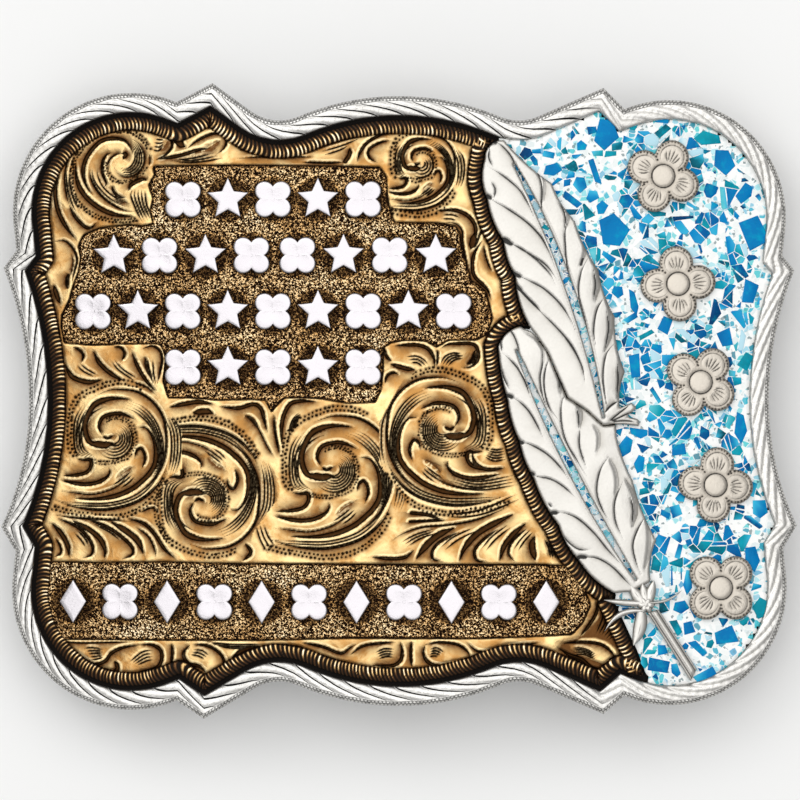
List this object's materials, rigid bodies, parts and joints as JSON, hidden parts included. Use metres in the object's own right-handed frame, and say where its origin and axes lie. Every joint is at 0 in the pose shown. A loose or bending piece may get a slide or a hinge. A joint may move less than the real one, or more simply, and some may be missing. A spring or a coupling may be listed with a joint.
{
  "type": "western trophy buckle",
  "caption": "Curved western trophy buckle with a rope border, bronze scrollwork panel, silver feathers and ornaments, a crushed stone inlay, and a strap loop and stud behind.",
  "frame": {"origin": "on the surface that the buckle lies on, under the middle of its box", "axes": "+X along the strap, +Y up the front as it is worn, +Z out of the front"},
  "size_m": [0.1016, 0.0808, 0.0146],
  "materials": {
    "engraved_silver": "bright cut and engraved nickel silver with light grey in the cuts",
    "polished_silver": "polished nickel silver",
    "plain_silver": "satin nickel silver",
    "antiqued_bronze": "bronze with bright high places and a dark brown patina in the ground and cuts",
    "crushed_stone": "crushed blue stone in pale glossy resin, polished flush"
  },
  "bodies": {
    "root": {"base_plate": "plain_silver", "rope_border": "engraved_silver", "bronze_panel": "antiqued_bronze", "stone_inlay": "crushed_stone", "feather_long": "engraved_silver", "feather_short": "engraved_silver", "feather_tie": "engraved_silver", "quill_stem": "engraved_silver", "top_row_1": "polished_silver", "top_row_2": "polished_silver", "top_row_3": "polished_silver", "top_row_4": "polished_silver", "top_row_5": "polished_silver", "second_row_1": "polished_silver", "second_row_2": "polished_silver", "second_row_3": "polished_silver", "second_row_4": "polished_silver", "second_row_5": "polished_silver", "second_row_6": "polished_silver", "second_row_7": "polished_silver", "second_row_8": "polished_silver", "third_row_1": "polished_silver", "third_row_2": "polished_silver", "third_row_3": "polished_silver", "third_row_4": "polished_silver", "third_row_5": "polished_silver", "third_row_6": "polished_silver", "third_row_7": "polished_silver", "third_row_8": "polished_silver", "third_row_9": "polished_silver", "fourth_row_1": "polished_silver", "fourth_row_2": "polished_silver", "fourth_row_3": "polished_silver", "fourth_row_4": "polished_silver", "fourth_row_5": "polished_silver", "bottom_row_1": "polished_silver", "bottom_row_2": "polished_silver", "bottom_row_3": "polished_silver", "bottom_row_4": "polished_silver", "bottom_row_5": "polished_silver", "bottom_row_6": "polished_silver", "bottom_row_7": "polished_silver", "bottom_row_8": "polished_silver", "bottom_row_9": "polished_silver", "bottom_row_10": "polished_silver", "bottom_row_11": "polished_silver", "plaque_1": "engraved_silver", "plaque_2": "engraved_silver", "plaque_3": "engraved_silver", "plaque_4": "engraved_silver", "plaque_5": "engraved_silver", "belt_loop": "plain_silver", "hook_post": "plain_silver"}
  },
  "joints": []
}
